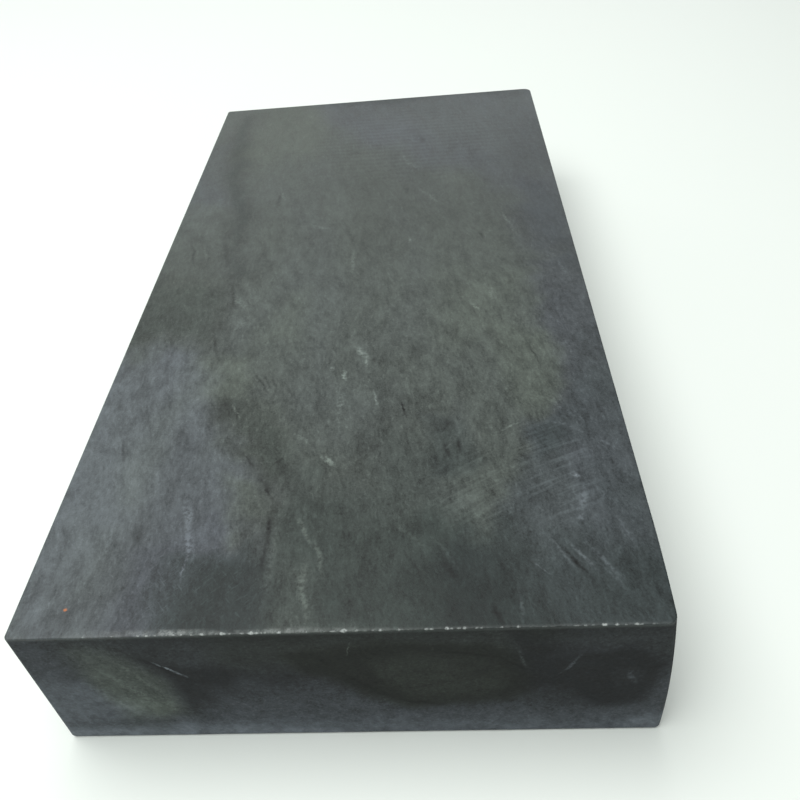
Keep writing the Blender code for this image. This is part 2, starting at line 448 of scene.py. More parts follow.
# ---- Broad tones of the stone, with painted light and shade in some zones, stored on the mesh ----
# Outlines are in millimetres on the working face (x, y) or the front face (x, z):
# (strength, blueness, feather, outline)
TOP_ZONES = (
    # Painted sheen: wide lifts that make the far half and the middle lighter, as glancing light from
    # behind would
    (0.24, 0.0, 60.0, ((-90, 170), (90, 170), (90, 40), (-90, 40))),
    (0.18, 0.0, 22.0, ((-44, 10), (52, 10), (48, -84), (-36, -84))),
    # Near left: the hazy patch, a painted reflection of bluish light, with the streaks in it and its
    # dark rim
    (0.64, 0.75, 8.0, ((-80, -47), (-50, -48), (-46, -56), (-42, -75), (-37, -88), (-27, -99),
        (-21, -112), (-20, -124), (-36, -129), (-40, -152), (-80, -152))),
    (0.17, -0.2, 5.0, ((-50, -52), (-47, -58), (-48, -70), (-52, -80), (-53, -94), (-52, -108),
        (-59, -110), (-61, -94), (-59, -78), (-55, -68), (-55, -56))),
    (0.10, -0.2, 5.0, ((-64, -116), (-57, -118), (-55, -134), (-61, -136))),
    (0.14, 0.0, 7.0, ((-60, -92), (-54, -92), (-52, -108), (-56, -122), (-62, -118))),
    (0.10, 0.0, 9.0, ((-80, -96), (-62, -96), (-58, -128), (-80, -132))),
    (-0.18, 0.0, 5.0, ((-46, -74), (-43, -76), (-38, -92), (-36, -108), (-44, -106), (-48, -88))),
    (-0.28, 0.0, 9.0, ((-62, -104), (-37, -104), (-35, -146), (-62, -142))),
    (-0.10, -1.0, 5.0, ((-31, -104), (-24, -106), (-20, -118), (-22, -126), (-31, -125))),
    (-0.16, -0.4, 4.5, ((-43, -62), (-36, -63), (-26, -75), (-19, -86), (-21, -100), (-27, -98),
        (-36, -88), (-42, -74))),
    (-0.14, 0.0, 3.0, ((-42, -70), (-38, -70), (-30, -92), (-34, -92))),
    (-0.60, 0.9, 7.0, ((-47, -126), (-34, -122), (-22, -124), (-18, -140), (-18, -160), (-50, -160),
        (-48, -142))),
    (0.42, -0.6, 6.0, ((-47, -50), (-36, -52), (-36, -68), (-46, -68))),
    # Left of the middle
    (-0.14, -0.3, 8.0, ((-80, -10), (-60, -6), (-50, -14), (-47, -30), (-48, -46), (-80, -46))),
    (0.16, 0.0, 8.0, ((-62, 30), (-44, 30), (-44, -10), (-58, -10))),
    (0.10, 0.0, 14.0, ((-50, 40), (10, 44), (8, -40), (-8, -44), (-30, 8), (-50, 8))),
    (0.24, 0.0, 6.0, ((-44, -12), (-36, -14), (-34, -44), (-42, -46))),
    (0.22, -0.3, 7.0, ((-27, -18), (-20, -18), (-20, -46), (-28, -46))),
    # Middle
    (0.14, 0.0, 7.0, ((-6, -94), (8, -94), (8, -108), (-6, -108))),
    (-0.16, -0.2, 14.0, ((-22, -90), (30, -86), (34, -124), (-18, -124))),
    (0.14, 0.0, 5.0, ((-11, -44), (5, -44), (9, -82), (-8, -84))),
    (0.20, 0.0, 4.0, ((-11, -93), (-4, -94), (0, -103), (-5, -105))),
    # Near middle, up to the front arris
    (-0.14, 0.0, 8.0, ((-16, -134), (80, -134), (80, -154), (-16, -154))),
    (-0.34, -0.3, 9.0, ((-18, -118), (22, -118), (24, -154), (-18, -154))),
    (0.08, 0.0, 2.4, ((-17, -113), (-12, -116), (-6, -130), (-2, -154), (-18, -154))),
    (0.18, 0.0, 3.0, ((-12, -130), (-6, -130), (-4, -152), (-11, -152))),
    # Right, with the bluish band along its edge
    (-0.18, 0.8, 4.0, ((57, -6), (80, -4), (80, -154), (22, -154), (24, -128), (34, -122), (41, -112),
        (45, -97), (47, -87), (57, -84), (59, -70), (57, -50), (56, -30))),
    (-0.08, 0.0, 6.0, ((58, -46), (80, -46), (80, -100), (46, -100), (48, -86), (57, -84))),
    (-0.18, 0.4, 4.0, ((48, -84), (57, -85), (57, -95), (48, -98))),
    (0.20, 0.0, 10.0, ((50, -10), (80, -10), (80, -72), (38, -66), (40, -50), (50, -42))),
    (0.14, 0.0, 8.0, ((24, -34), (36, -34), (36, -46), (24, -46))),
    (0.14, 0.0, 8.0, ((60, -76), (80, -76), (80, -106), (60, -106))),
    (0.16, -0.3, 10.0, ((24, -12), (56, -12), (56, -50), (26, -50))),
    (0.20, -0.5, 7.0, ((44, -46), (57, -48), (58, -80), (46, -80))),
    (0.22, 0.0, 4.0, ((32, -16), (46, -16), (45, -48), (34, -44))),
    # Near right
    (-0.40, -0.2, 8.0, ((20, -122), (38, -122), (46, -156), (20, -156))),
    (-0.14, 0.0, 9.0, ((44, -128), (80, -132), (80, -154), (44, -154))),
    (0.05, 0.0, 9.0, ((22, -86), (46, -86), (40, -122), (20, -122))),
    (0.08, 0.0, 4.0, ((46, -98), (62, -98), (64, -124), (48, -124))),
    (-0.22, 0.3, 3.0, ((21, -80), (30, -80), (33, -102), (22, -102))),
    # Far half: a bluish band on the right, and a dark vein near the left edge
    (0.00, 0.65, 9.0, ((-30, 142), (-20, 118), (-6, 100), (10, 98), (18, 76), (36, 70), (46, 60),
        (57, 46), (60, 20), (58, -6), (80, -6), (80, 152), (-30, 152))),
    (0.12, -0.5, 12.0, ((-60, 144), (-30, 142), (-20, 118), (-25, 90), (-45, 84), (-62, 96))),
    (0.02, 0.4, 5.0, ((-80, 110), (-66, 108), (-62, 84), (-60, 60), (-59, 50), (-80, 48))),
    (-0.50, 0.0, 6.0, ((-66, 138), (-61, 138), (-60, 112), (-56, 88), (-54, 66), (-52, 44), (-50, 18),
        (-45, -8), (-50, -8), (-55, 18), (-58, 46), (-61, 66), (-63, 90), (-67, 112))),
    (0.30, 0.0, 7.0, ((-72, 50), (-62, 50), (-57, 30), (-60, 22), (-68, 24), (-73, 36))),
    (0.16, 0.0, 6.0, ((-80, 20), (-72, 20), (-66, -4), (-80, -6))),
    (0.14, 0.0, 20.0, ((-46, 60), (-10, 60), (-14, -10), (-40, -10))),
    (-0.10, 0.0, 9.0, ((-22, 100), (4, 102), (4, 60), (-20, 60))),
    (-0.10, 0.0, 9.0, ((-2, 32), (16, 32), (16, -2), (-2, -2))),
    (-0.16, 0.4, 7.0, ((57, 54), (72, 52), (74, 0), (60, 2))),
    (-0.08, 0.0, 16.0, ((46, 110), (80, 110), (80, 20), (50, 40))),
    (-0.34, 0.2, 5.0, ((-80, 154), (-20, 143), (30, 145), (80, 145), (80, 154), (-30, 154))),
)
FRONT_ZONES = (
    # Painted shade: the whole face made darker, as it stands in shade, and the strip under the arris
    # darker still
    (-0.40, 0.7, 5.0, ((-90, 60), (90, 60), (90, 4), (-90, 4))),
    (-0.20, 0.0, 3.0, ((-48, 60), (90, 60), (90, 44), (-48, 44))),
    # Left
    (0.36, 0.6, 5.0, ((-84, 46), (-67, 46), (-64, 18), (-84, 18))),
    (1.20, 0.6, 6.0, ((-90, 16), (-64, 15), (-58, 4), (-44, 4), (-42, -6), (-90, -6))),
    (-0.36, 0.0, 5.0, ((-55, 40), (-44, 38), (-40, 28), (-45, 18), (-53, 16))),
    (0.80, -0.7, 4.0, ((-63, 41), (-55, 42), (-42, 27), (-43, 13), (-48, 8), (-58, 10), (-62, 25))),
    (1.00, 0.6, 5.0, ((-84, 28), (-66, 27), (-56, 18), (-50, 9), (-64, 12), (-84, 14))),
    (0.62, -0.2, 5.0, ((-62, 20), (-44, 18), (-42, 8), (-56, 10))),
    (-0.40, 0.4, 4.0, ((-42, 33), (-27, 31), (-27, 18), (-39, 14))),
    # Middle, with a greener island in it
    (-0.10, -0.6, 5.0, ((-30, 60), (48, 60), (46, 33), (-30, 33))),
    (-0.16, 0.2, 4.0, ((-36, 30), (-14, 30), (-14, 23), (-30, 18))),
    (0.16, 0.2, 4.0, ((-30, 19), (8, 16), (14, 4), (-30, 4))),
    (-0.14, 0.0, 5.0, ((-26, 32), (6, 32), (6, 20), (-26, 20))),
    (0.42, 1.0, 5.0, ((-34, 24), (-24, 27), (-6, 26), (4, 18), (10, 13), (24, 11), (40, 14), (50, 12),
        (62, 10), (70, 14), (76, 32), (80, 32), (80, -4), (-36, -4), (-36, 16))),
    (-0.34, -1.0, 3.0, ((-14, 38), (2, 39), (20, 40), (34, 38), (44, 32), (45, 22), (38, 16), (26, 13),
        (11, 13), (0, 23), (-10, 31))),
    (0.22, -0.6, 3.0, ((3, 34), (18, 37), (34, 34), (40, 27), (36, 20), (24, 17), (15, 19), (7, 28))),
    # Right
    (-0.12, 0.2, 4.0, ((26, 34), (66, 34), (60, 14), (50, 14), (46, 24), (26, 24))),
    (-0.24, 0.8, 4.0, ((38, 46), (56, 38), (56, 20), (44, 20))),
    (-0.42, 0.8, 3.0, ((56, 35), (65, 38), (73, 31), (71, 15), (63, 9), (56, 15))),
    (0.22, 0.6, 2.5, ((61, 31), (67, 30), (69, 23), (64, 20), (60, 25))),
    # Along the foot: painted light, the lower face made lighter as light bounced from the floor would
    (0.46, 0.5, 4.0, ((-46, 9), (80, 9), (80, -4), (-46, -4))),
    (0.50, 0.0, 2.5, ((-80, 4.5), (80, 4.5), (80, -4), (-80, -4))),
    (0.80, 0.4, 3.0, ((-80, 5), (-22, 4.5), (-4, 2), (4, -4), (-80, -4))),
    (0.50, 0.4, 3.0, ((66, 4), (80, 8), (80, -4), (64, -4))),
)

# How the zones' edges wander off their outlines: (feature size, reach), both in
# millimetres, how much more they do so along the slab, and the share used on each face
WANDER_LAYERS = (
    (16.0, 4.0),
    (5.0, 2.0),
)
WANDER_ALONG = 1.8
WANDER_SEED = 1794843948
TOP_WANDER = 1.0
FRONT_WANDER = 0.35

# A point no deeper than this below the working face or behind the front takes that
# face's zones; the rest of the slab has plain noise, of these sizes in millimetres
TOP_SKIN = 0.6 * MM
FRONT_SKIN = 1.2 * MM
REST_TONE_SIZE, REST_TONE_SWING = 17.0, 0.25
REST_BLUE_SIZE, REST_BLUE_SWING = 26.0, 1.5
REST_BLUE_SHIFT = Vector((9.0, 0.0, 0.0))


def inside_depth(x, y, outline):
    """Distance to an outline, positive inside it."""
    inside = False
    nearest = 1.0e9
    x1, y1 = outline[-1]
    for x2, y2 in outline:
        if (y1 > y) != (y2 > y) and x < x1 + (x2 - x1) * (y - y1) / (y2 - y1):
            inside = not inside
        along_x, along_y = x2 - x1, y2 - y1
        share = ((x - x1) * along_x + (y - y1) * along_y) / (along_x * along_x + along_y * along_y)
        share = max(0.0, min(1.0, share))
        nearest = min(nearest, math.hypot(x - x1 - share * along_x, y - y1 - share * along_y))
        x1, y1 = x2, y2
    return nearest if inside else -nearest


def boxed(zones):
    """Add to each zone the box outside which it has no effect."""
    result = []
    for strength, blueness, feather, outline in zones:
        xs, ys = [x for x, _ in outline], [y for _, y in outline]
        box = (min(xs) - feather, max(xs) + feather, min(ys) - feather, max(ys) + feather)
        result.append((strength, blueness, feather, outline, box))
    return result


BOXED_TOP = boxed(TOP_ZONES)
BOXED_FRONT = boxed(FRONT_ZONES)


def smooth_step(share):
    """Ease a share in and out between nought and one."""
    share = max(0.0, min(1.0, share))
    return share * share * (3.0 - 2.0 * share)


def zone_tones(x, y, zones, wandering):
    """Tone and blueness of the stone, with painted light and shade in some zones, at a place in
    millimetres.
    """
    place = Vector((x, y, 0.0))
    wander = Vector((0.0, 0.0, 0.0))
    for size, reach in WANDER_LAYERS:
        wander += noise.noise_vector(place / size) * reach
    x += wander.x * wandering
    y += wander.y * wandering * WANDER_ALONG
    tone, blue = 0.0, 0.0
    for strength, blueness, feather, outline, box in zones:
        if box[0] < x < box[1] and box[2] < y < box[3]:
            share = smooth_step(inside_depth(x, y, outline) / feather * 0.5 + 0.5)
            tone += strength * share
            blue += blueness * share
    return tone, blue


def broad_tones(point):
    """Tone and blueness at a point on the slab's surface."""
    x, y, z = point.x / MM, point.y / MM, point.z / MM
    if THICKNESS - point.z < TOP_SKIN:
        return zone_tones(x, y, BOXED_TOP, TOP_WANDER)
    if point.y - FRONT_Y < FRONT_SKIN:
        return zone_tones(x, z, BOXED_FRONT, FRONT_WANDER)
    place = Vector((x, y, z))
    tone = noise.noise(place / REST_TONE_SIZE) * REST_TONE_SWING
    blue = noise.noise(place / REST_BLUE_SIZE + REST_BLUE_SHIFT) * REST_BLUE_SWING
    return tone, blue


# ---- Node helper ----
class Nodes:
    """Adds and links shader nodes in one material."""

    def __init__(self, material):
        material.use_nodes = True
        self.tree = material.node_tree
        self.shader = self.tree.nodes["Principled BSDF"]

    def add(self, kind):
        """A new shader node of a kind."""
        return self.tree.nodes.new("ShaderNode" + kind)

    def feed(self, socket, value):
        """Link a socket to another node's output, or set it to a plain value."""
        if isinstance(value, bpy.types.NodeSocket):
            self.tree.links.new(value, socket)
        else:
            socket.default_value = value

    def math(self, operation, first, second=0.0, third=0.0, clamp=False):
        """A Math node."""
        node = self.add("Math")
        node.operation = operation
        node.use_clamp = clamp
        for socket, value in zip(node.inputs, (first, second, third)):
            self.feed(socket, value)
        return node.outputs[0]

    def times(self, first, second):
        """The product of two values."""
        return self.math("MULTIPLY", first, second)

    def vector(self, operation, first, second=(0.0, 0.0, 0.0)):
        """A Vector Math node; LENGTH and DISTANCE give a number, the others a vector."""
        node = self.add("VectorMath")
        node.operation = operation
        self.feed(node.inputs[0], first)
        if operation == "SCALE":
            self.feed(node.inputs["Scale"], second)
        else:
            self.feed(node.inputs[1], second)
        return node.outputs["Value" if operation in ("LENGTH", "DISTANCE") else "Vector"]

    def noise(self, coords, scale, detail=2.0, roughness=0.5, colour=False):
        """A Noise texture; scale is in features per millimetre."""
        node = self.add("TexNoise")
        self.feed(node.inputs["Vector"], coords)
        node.inputs["Scale"].default_value = scale
        node.inputs["Detail"].default_value = detail
        node.inputs["Roughness"].default_value = roughness
        return node.outputs["Color" if colour else "Fac"]

    def place(self, coords, centre, size, angle=0.0):
        """Coordinates measured from centre, along a turned axis, in units of size."""
        node = self.add("Mapping")
        node.vector_type = "TEXTURE"
        self.feed(node.inputs["Vector"], coords)
        node.inputs["Location"].default_value = centre
        node.inputs["Rotation"].default_value = (0.0, 0.0, math.radians(angle))
        node.inputs["Scale"].default_value = size
        return node.outputs["Vector"]

    def ramp(self, value, low, high, at_low=0.0, at_high=1.0):
        """Smooth step from at_low to at_high as value goes from low to high."""
        node = self.add("MapRange")
        node.interpolation_type = "SMOOTHSTEP"
        self.feed(node.inputs["Value"], value)
        settings = {"From Min": low, "From Max": high, "To Min": at_low, "To Max": at_high}
        for name, setting in settings.items():
            node.inputs[name].default_value = setting
        return node.outputs["Result"]

    def mix(self, amount, first, second):
        """A colour Mix node."""
        node = self.add("Mix")
        node.data_type = "RGBA"
        self.feed(node.inputs[0], amount)
        self.feed(node.inputs[6], first)
        self.feed(node.inputs[7], second)
        return node.outputs[2]

    def attribute(self, name):
        """A float attribute of the mesh."""
        node = self.add("Attribute")
        node.attribute_name = name
        return node.outputs["Fac"]

    def total(self, values):
        """The sum of several values."""
        result = values[0]
        for value in values[1:]:
            result = self.math("ADD", result, value)
        return result


# ---- The stone's markings ----
# Strokes in millimetres: (x, y, x, y, width, strength)
LIGHT_STROKES = (
    (60, -134, 64, -142, 1.0, 0.35),
    (47, -124, 55, -136, 1.0, 0.5),
    (22, -124, 27, -136, 1.4, 0.26),
    (66, -118, 68, -130, 1.2, 0.4),
    (60.4, -109, 57, -120, 2.4, 0.6),
    (56, -121, 59, -119, 1.6, 0.8),
    (30, -86, 25, -98, 1.2, 0.3),
    (-8.8, -58.6, -7, -60.4, 1.4, 1.1),
    (-4.6, -59.4, -3.2, -66.8, 1.4, 1.6),
    (-1.2, -47.6, 2.8, -57, 2.2, 1.2),
    (2.5, -55, 2.6, -60, 1.2, 1.1),
    (5, -70.6, 6.8, -77.6, 0.9, 1.3),
    (-4.2, -71, -4.8, -79.6, 3.0, 0.8),
    (-8.4, -95.2, -3.6, -101.2, 1.5, 1.4),
    (-17, -86.6, -10.4, -92.4, 1.4, 0.7),
    (-2.8, -83.4, -1, -87.4, 1.0, 0.7),
    (-36.4, -73, -33, -81, 0.8, 1.0),
    (-8.6, -49.6, -7, -54.6, 1.2, 0.5),
    (-42.2, -109.4, -39.2, -121, 2.4, 1.0),
    (-39.2, -120, -37.6, -130, 3.4, 0.9),
    (-38, -127, -38.4, -136.4, 0.9, 0.9),
    (-13.6, -114, -6.4, -130, 1.1, 0.7),
    (-8, -121, -3.6, -138, 1.4, 0.6),
    (-9.6, -131, -8.4, -141, 2.8, 0.7),
    (-9, -138, -6.6, -148, 2.4, 0.6),
    (-17.2, -113, -17.6, -148, 2.2, 0.4),
    (35.8, -28.6, 38.4, -34.6, 1.5, 1.0),
    (42, -18.6, 43, -28.8, 1.5, 0.7),
    (-46.4, -16, -38, -28, 4.0, 0.5),
    (-41.6, -30, -39.6, -38, 4.0, 0.5),
    (-5.4, 8, -4.6, -7.6, 2.0, 0.5),
    (50.6, 29, 53.2, 20, 1.4, 0.6),
    (53, 20, 54, 14, 1.2, 0.4),
    (15.2, 15.4, 15, 10.6, 1.4, 0.8),
    (40, 39.4, 40, 36.6, 2.4, 0.6),
    (12.4, 86, 15.2, 72, 2.2, 0.3),
    (15, 78, 19.4, 68, 2.0, 0.3),
    (18, 56, 27, 38, 2.8, 0.3),
    (-39.2, 66, -35.4, 44, 1.0, 0.4),
    (-26, 27.6, -12, 25, 2.4, 0.4),
    (-59.6, -114, -58.8, -133, 1.4, 0.4),
    (7, -115.6, 24.4, -132.4, 1.0, 0.26),
    (56.4, -105.4, 59, -107.6, 1.8, 1.3),
    (46, -86, 39.6, -89.4, 0.9, 0.8),
    (52, -85, 65, -92, 1.2, 0.34),
    (65, -92, 71, -99.6, 1.2, 0.3),
    (53, -126, 59.2, -137.4, 1.3, 0.7),
    (57, -126, 64.6, -141, 1.2, 0.55),
    (39.8, -139, 41, -149, 1.4, 0.4),
    (44, -132.4, 48, -136.4, 0.8, 0.7),
    (67, -6, 69.4, -19, 1.6, 0.5),
    (20, -11, 21.6, -17.6, 1.4, 0.4),
    (54.6, -76, 58, -83, 2.0, 0.5),
    (-63, 19, -60, 6, 1.2, 0.4),
    (-18, -52, -17, -60, 1.6, 0.4),
)

DARK_STROKES = (
    (-30.6, -58, -24.6, -70, 0.9, 0.30),
    (-27, -60, -22.6, -72, 0.9, 0.26),
    (-23, -62, -17, -76, 1.0, 0.22),
    (-45.2, -66, -38.6, -86, 1.0, 0.28),
    (-30.2, -93.4, -26, -100, 0.9, 0.40),
    (13.2, -74.6, 14.6, -83, 0.9, 0.80),
    (25.4, -83, 26.4, -89, 3.6, 0.30),
    (24.4, -91.6, 27, -99.8, 2.0, 0.44),
    (28.4, -90, 29.6, -98, 1.6, 0.44),
    (-23.4, -103, -19, -113, 1.0, 0.24),
    (-19, -112, -19.6, -130, 1.0, 0.40),
    (-41.8, -66, -35, -84, 0.7, 0.30),
    (-37.6, -68, -31, -88, 0.7, 0.36),
    (-43.4, -63, -35, -90, 1.5, 0.24),
    (-41, -63, -33.6, -88, 1.2, 0.20),
    (-33, -56, -26, -71.6, 1.1, 0.42),
    (-34.4, -88.6, -26.6, -98.6, 3.2, 0.22),
    (-27, -97, -21.8, -106, 4.0, 0.22),
    (-22.2, -104, -18, -114, 4.4, 0.24),
    (-18.4, -111, -19.6, -128, 3.2, 0.26),
    (-19.2, -125, -19, -137, 2.2, 0.42),
    (-18.4, -96, -21.6, -99.6, 1.4, 0.35),
    (-48.4, -11, -42.6, -26, 1.4, 0.36),
    (-54.4, -13, -52.4, -18.6, 1.2, 0.30),
    (-49.4, -34, -45, -54, 1.4, 0.32),
    (-66.4, -85, -62.6, -97, 1.2, 0.26),
    (-53, -118, -51.4, -124.6, 5.0, 0.28),
    (34.2, -143, 36.4, -151, 1.4, 0.75),
    (51, -127, 57.4, -140, 1.8, 0.55),
    (22.4, -130, 28, -139.4, 1.8, 0.45),
    (52, -50, 53.8, -62, 0.9, 0.34),
    (19.6, 106, 22.2, 92, 2.6, 0.20),
    (-39, 64, -37, 38, 1.4, 0.28),
    (-10.4, 30, -3.6, 8, 2.4, 0.22),
    (41, 18, 42.4, 10.6, 1.2, 0.34),
    (19.2, -47.6, 19.8, -54.6, 8.4, 0.18),
    (-68.4, 21, -63.6, 3, 1.6, 0.34),
    (-57, 24, -48, -6, 2.2, 0.22),
    (12, 57, 15, 47, 2.0, 0.18),
    (-9.6, 92, -6.4, 88, 3.0, 0.20),
)

# The same on the front face (x, z, x, z, width, strength)
FRONT_LIGHT_STROKES = (
    (-46.4, 38.6, -36.4, 26.4, 0.7, 2.2),
    (-61, 37, -47, 15, 2.6, 0.5),
    (-57, 40, -42, 18, 2.0, 0.5),
    (-64, 30, -54, 10, 3.0, 0.5),
    (54.4, 38, 48.6, 24.6, 0.7, 0.6),
    (2.8, 42.6, 0.4, 36.8, 0.7, 0.7),
    (-52, 30, -49, 12, 5.0, 0.4),
    (-47, 24, -44, 10, 3.0, 0.5),
    (65, 29, 67, 22, 2.0, 0.5),
    (38.6, 44, 42, 26, 1.2, 0.35),
    (-30, 18, -24, 13, 1.0, 0.4),
)

FRONT_DARK_STROKES = (
    (-50.6, 41.6, -35.2, 24.6, 1.6, 0.50),
    (-15.4, 29.4, -11.6, 27.4, 2.2, 0.40),
    (-7, 36, -2, 33.6, 3.6, 0.35),
    (22, 38.6, 36, 34.6, 1.4, 0.40),
    (35, 35, 43, 28.4, 1.6, 0.35),
    (-1, 30, 10, 17, 2.4, 0.35),
    (9, 17, 24, 13.6, 2.4, 0.40),
    (-37, 24, -34, 16, 3.4, 0.30),
)

# Strokes of like slant and slimness share coordinates: slants in degrees are rounded to
# this step, and length over width to the nearest of these; each fades over the spread
STROKE_ANGLE_STEP = 15.0
STROKE_ASPECTS = (1.5, 4.0, 10.0)
STROKE_SPREAD = 1.3
LIGHT_STROKE_GAIN = 1.5
DARK_STROKE_GAIN = 1.5

# Tool marks. Grinding arcs have a hub, a distance between them and a rate of breaking up;
# the patches are ovals: (x, y, half width, half length)
ARC_HUB = (159.0, -343.0)
ARC_PITCH = 1.35
ARC_TURN = 18.0
ARC_PATCHES = (
    (53.0, -105.0, 15.0, 24.0),
    (33.0, -111.0, 16.0, 19.0),
)
FAINT_ARCS = 0.7           # strength of the second patch, next to the first
CROSSED_PATCH = (-33.0, -139.0, 19.0, 17.0)
CROSSED_GAIN = 1.8         # strength of the crossed scratches, next to the arcs
SAW_PATCH = (18.0, 98.0, 64.0, 52.0)
SAW_TURN = 1.75            # radians of a saw band per millimetre
PATCH_CORE = 0.45          # share of an oval that is at full strength
SAW_PATCH_CORE = 0.3

# Hair scratches: (angle in degrees, spacing, noise where they start, noise where they are full)
RISING_SCRATCHES = (-46.0, 0.55, 0.56, 0.76)
FALLING_SCRATCHES = (40.0, 0.65, 0.58, 0.76)
WISPS = (8.0, 1.1, 0.60, 0.78)
FINE_SCRATCHES = (32.0, 0.55, 0.66, 0.80)
SCRATCH_STRETCH = 6.0      # length of a scratch over its spacing

# Strength in the texture of the wisps, the fine scratches, the arcs and the saw bands
MARK_STRENGTHS = (0.32, 0.12, 0.55, 0.10)

# ---- The stone's material ----
GREEN_GREY = (0.0440, 0.0525, 0.0455, 1.0)
BLUE_GREY = (0.0440, 0.0500, 0.0575, 1.0)
DEEP_GREY = (0.0330, 0.0520, 0.0480, 1.0)
CRUSHED_STONE = (0.46, 0.49, 0.48, 1.0)
RUST = (0.42, 0.14, 0.05, 1.0)
RUST_PLACE = (-63.7, -142.5, 47.0)

ORIGIN = (0.0, 0.0, 0.0)

# Where the working face's pattern fades in with height, and the front's fades out with y
TOP_FADE = (45.4, 46.5)
FRONT_FADE = (-149.2, -148.4)

# How coordinates are pushed about: (features per millimetre, reach in millimetres)
BROAD_WARP = (0.028, 10.0)
ORGANIC_WARP = (0.22, 2.0)
RAGGED_WARP = (1.1, 0.8)

# How patterns are drawn out along the slab: (size in x, y and z), and the turn in degrees
VEIN_STRETCH = (1.0, 2.6, 1.0)
VEIN_TURN = 7.0
SPECK_STRETCH = (0.85, 1.9, 0.85)
SPECK_TURN = 8.0

# Noise: (features per millimetre, detail, roughness)
CLOUD_NOISE = (0.055, 5.0, 0.62)
STREAK_NOISE = (0.30, 5.0, 0.66)
THREAD_NOISE = (1.05, 3.0, 0.6)
GRAIN_NOISE = (1.6, 3.0, 0.75)
SPECK_NOISE = (1.0, 2.0, 0.55)
ARC_NOISE = (1.0, 2.0, 0.55)
SCRATCH_NOISE = (1.0, 2.0, 0.5)
BREAKUP_NOISE = (0.9, 2.0, 0.6)
UNEVEN_NOISE = (0.55, 2.0, 0.6)
PATCHY_NOISE = (0.035, 2.0, 0.5)
CRUSHED_NOISE = (2.4, 2.0, 0.5)

# How values are read: (from, to, value at from, value at to)
CLOUD_RAMP = (0.25, 0.75, 0.82, 1.18)
STREAK_RAMP = (0.25, 0.75, -0.31, 0.35)
THREAD_RAMP = (0.25, 0.75, -0.20, 0.22)
GRAIN_RAMP = (0.2, 0.8, -0.32, 0.32)
PALE_SPECK_RAMP = (0.56, 0.72, 0.0, 0.46)
DARK_SPECK_RAMP = (0.28, 0.44, -0.28, 0.0)
ARC_RAMP = (0.46, 0.66, 0.0, 1.0)
BREAKUP_RAMP = (0.36, 0.62, 0.12, 1.2)
UNEVEN_RAMP = (0.34, 0.62, 0.6, 1.2)
# Lightening of the light zones: lighter stone, and partly painted sheen and reflection
LIGHTENING_AND_SHEEN_RAMP = (0.25, 0.75, 0.66, 1.34)
PATCHY_RAMP = (0.3, 0.7, -0.15, 0.15)
TINT_RAMP = (-0.6, 1.3, 0.0, 1.0)
CRUSHED_RAMP = (0.3, 0.6, 0.35, 1.0)
RUST_RAMP = (0.2, 0.6, 0.9, 0.0)
HONED_ROUGHNESS_RAMP = (0.6, 1.4, 0.40, 0.56)
SAWN_EXTRA_ROUGHNESS = 0.34

# Veins and grain are calmer towards the far end: where this sets in, and what is left there
CALM_RAMP = (-60.0, 60.0, 1.0, 0.68)
FINE_CALM_RAMP = (-60.0, 60.0, 1.0, 0.28)

LEAST_TEXTURE = 0.2
DARKEST_ZONE = 0.25
SHINE = 0.30
RELIEF_STRENGTH = 0.35
RELIEF_DISTANCE = 0.00025
RELIEF_WEIGHTS = (0.5, 0.35, 0.5)  # of the grain, the threads and the streaks


def separate(nodes, coords):
    """The three axes of a vector."""
    node = nodes.add("SeparateXYZ")
    nodes.feed(node.inputs[0], coords)
    return node.outputs["X"], node.outputs["Y"], node.outputs["Z"]


def combine(nodes, x, y):
    """A flat vector from two numbers."""
    node = nodes.add("CombineXYZ")
    nodes.feed(node.inputs["X"], x)
    nodes.feed(node.inputs["Y"], y)
    return node.outputs["Vector"]


def warped(nodes, coords, scale, amount):
    """Push coordinates about with noise."""
    pushed = nodes.noise(coords, scale, detail=2.0, colour=True)
    centred = nodes.vector("SUBTRACT", pushed, (0.5, 0.5, 0.5))
    return nodes.vector("ADD", coords, nodes.vector("SCALE", centred, amount))


def strokes(nodes, coords, table):
    """The sum of soft strokes; those of like slant and slimness share their coordinates."""
    shared = {}
    result = 0.0
    for x0, y0, x1, y1, width, strength in table:
        length = math.hypot(x1 - x0, y1 - y0)
        slant = math.degrees(math.atan2(x1 - x0, y0 - y1))
        slant = round(slant / STROKE_ANGLE_STEP) * STROKE_ANGLE_STEP
        aspect = min(STROKE_ASPECTS, key=lambda value: abs(math.log(value * width / length)))
        if (slant, aspect) not in shared:
            shared[slant, aspect] = nodes.place(coords, ORIGIN, (1.0 / aspect, 1.0, 1.0), slant)
        turn = math.radians(-slant)
        x, y = (x0 + x1) / 2.0, (y0 + y1) / 2.0
        centre = (
            (x * math.cos(turn) - y * math.sin(turn)) * aspect,
            x * math.sin(turn) + y * math.cos(turn),
            0.0,
        )
        reach = nodes.vector("DISTANCE", shared[slant, aspect], centre)
        rim = math.sqrt(length * width * aspect) / 2.0
        stroke = nodes.ramp(reach, 0.0, STROKE_SPREAD * rim, strength, 0.0)
        result = nodes.math("ADD", stroke, result)
    return result


def oval_patch(nodes, flat, oval, core=PATCH_CORE):
    """One inside a soft oval and nothing outside it."""
    x, y, half_x, half_y = oval
    local = nodes.place(flat, (x, y, 0.0), (half_x, half_y, 1.0))
    return nodes.ramp(nodes.vector("LENGTH", local), core, 1.0, 1.0, 0.0)


